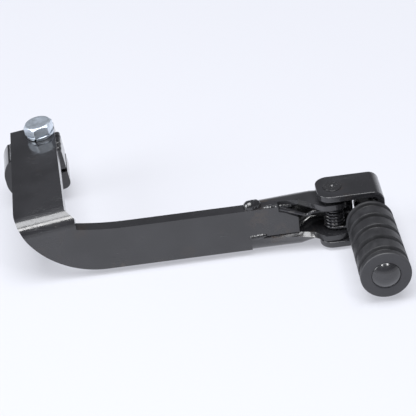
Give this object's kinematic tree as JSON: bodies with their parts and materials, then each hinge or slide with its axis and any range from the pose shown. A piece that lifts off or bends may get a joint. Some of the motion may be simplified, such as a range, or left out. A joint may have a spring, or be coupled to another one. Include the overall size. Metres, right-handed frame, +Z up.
{
  "type": "motorcycle gear shift lever",
  "caption": "Bent flat steel shift lever with a slit serrated clamp hub, a pinch bolt and a sprung folding tip that carries a ribbed rubber peg.",
  "frame": {"origin": "centre of the serrated spindle bore, half way along it", "axes": "+Y along the bore toward the engine, +X forward along the arm, +Z up"},
  "size_m": [0.1412, 0.1141, 0.033],
  "materials": {
    "enamel": "gloss black enamel",
    "weld": "gloss black enamel over weld",
    "rod_enamel": "gloss black enamel",
    "pin_steel": "semi-gloss black",
    "zinc": "blue-white zinc plate",
    "spring_steel": "dark oiled spring wire",
    "rubber": "satin black moulded rubber"
  },
  "bodies": {
    "lever": {"lever_arm": "enamel", "clamp_hub": "enamel", "hub_weld_left": "weld", "hub_weld_right": "weld", "pinch_bolt": "zinc", "lock_washer": "zinc", "end_bracket": "enamel", "bracket_weld_blob": "weld", "bracket_weld_top": "weld", "bracket_weld_face": "weld", "bracket_weld_back": "weld", "pivot_spacer": "pin_steel", "torsion_spring": "spring_steel"},
    "tip": {"tip_bracket": "enamel", "pivot_pin": "pin_steel", "peg_rod": "rod_enamel", "rubber_grip": "rubber", "peg_weld_rear": "weld", "peg_weld_side": "weld", "peg_weld_under": "weld"}
  },
  "joints": [
    {"name": "tip_fold", "type": "hinge", "parent": "lever", "child": "tip", "pos_m": [0.10985, -0.0593, 0], "axis": [0, 0, -1], "range_deg": [0, 60], "stiffness_Nm_per_rad": 0.2, "springref_deg": -60.16, "deforming": ["torsion_spring"]}
  ]
}
